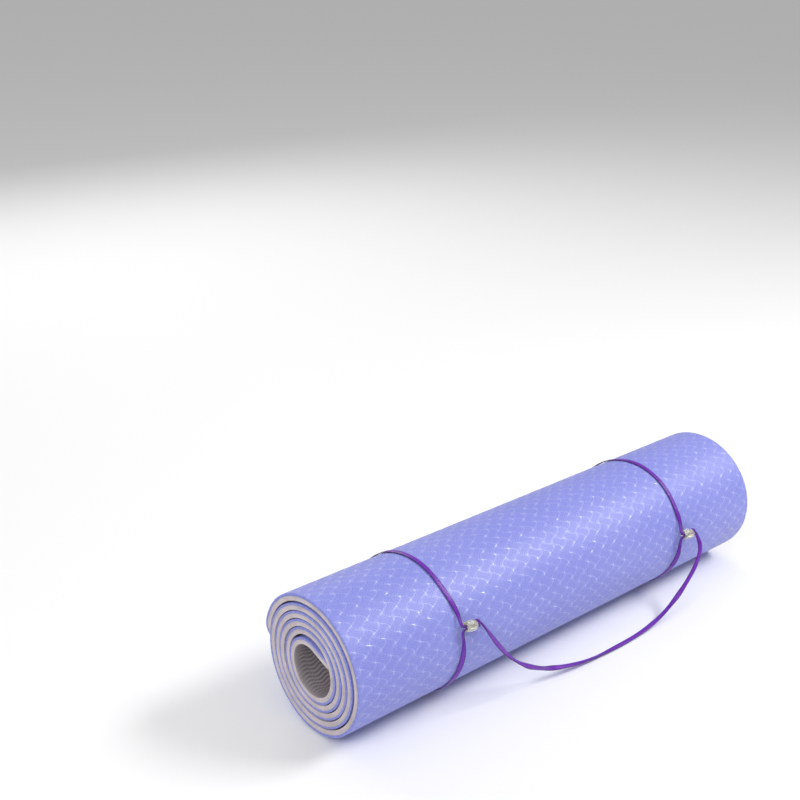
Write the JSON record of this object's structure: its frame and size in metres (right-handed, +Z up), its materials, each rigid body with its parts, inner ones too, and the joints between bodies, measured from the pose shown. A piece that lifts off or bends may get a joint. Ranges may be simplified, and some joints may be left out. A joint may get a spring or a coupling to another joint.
{
  "type": "rolled exercise mat",
  "caption": "Two-layer foam exercise mat, rolled up and held by a cord carry strap with nooses, barrel beads and a slack handle.",
  "frame": {"origin": "on the floor, under the middle of the roll and its strap without the slack handle", "axes": "+X along the roll, from the left noose to the right one; -Y is the front with the beads; +Z up"},
  "size_m": [0.61, 0.1825, 0.1512],
  "materials": {
    "base_foam": "matte closed-cell foam, fine wavy ribs",
    "top_foam": "satin closed-cell foam, embossed with a basket pattern",
    "strap_cord": "flat woven elastic cord",
    "clear_bead": "clear moulded plastic"
  },
  "bodies": {
    "roll": {"mat_base_layer": "base_foam", "mat_top_layer": "top_foam"},
    "strap": {"left_noose": "strap_cord", "right_noose": "strap_cord"},
    "left_stopper": {"left_bead": "clear_bead", "left_knot": "strap_cord"},
    "right_stopper": {"right_bead": "clear_bead", "right_knot": "strap_cord"},
    "handle": {"handle_cord": "strap_cord"}
  },
  "joints": [
    {"name": "strap_slide", "type": "slide", "parent": "roll", "child": "strap", "axis": [1, 0, 0], "range_m": [-0.12, 0.12]},
    {"name": "left_bead_slide", "type": "slide", "parent": "strap", "child": "left_stopper", "axis": [0.9991, -0.0094, -0.0404], "range_m": [0, 0.005]},
    {"name": "right_bead_slide", "type": "slide", "parent": "strap", "child": "right_stopper", "axis": [0.9991, -0.0094, -0.0404], "range_m": [0, 0.005]},
    {"name": "handle_swing", "type": "hinge", "parent": "strap", "child": "handle", "pos_m": [-0.165, -0.07412, 0.1006], "axis": [-0.9991, 0.0094, 0.0404], "range_deg": [0, 160]}
  ]
}
